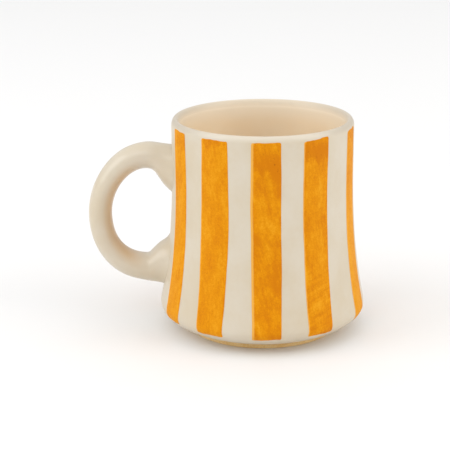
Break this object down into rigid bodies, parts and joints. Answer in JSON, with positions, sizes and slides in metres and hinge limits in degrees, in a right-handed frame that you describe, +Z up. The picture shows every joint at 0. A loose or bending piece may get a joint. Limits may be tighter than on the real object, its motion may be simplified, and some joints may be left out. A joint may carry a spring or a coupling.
{
  "type": "ceramic mug",
  "caption": "Stoneware mug with a flared base, rounded lip, loop handle and hand-painted upright stripes on a cream glaze.",
  "frame": {"origin": "on the body's axis, in the plane that the foot ring stands on", "axes": "+Z up along the body's axis, handle towards -X, +Y the third axis"},
  "size_m": [0.127, 0.0944, 0.0978],
  "materials": {
    "cream_glaze": "soft satin clear glaze over pale clay",
    "bare_clay": "unglazed, fine sanded",
    "lining_glaze": "soft gloss, slightly warmer than the outside",
    "stripe_colour": "brushed ochre underglaze beneath the clear glaze"
  },
  "bodies": {
    "root": {"body": "cream_glaze", "foot_ring": "bare_clay", "glaze_lining": "lining_glaze", "handle": "cream_glaze", "upper_joint": "cream_glaze", "lower_joint": "cream_glaze", "stripe_01": "stripe_colour", "stripe_02": "stripe_colour", "stripe_03": "stripe_colour", "stripe_04": "stripe_colour", "stripe_05": "stripe_colour", "stripe_06": "stripe_colour", "stripe_07": "stripe_colour", "stripe_08": "stripe_colour", "stripe_09": "stripe_colour", "stripe_10": "stripe_colour"}
  },
  "joints": []
}
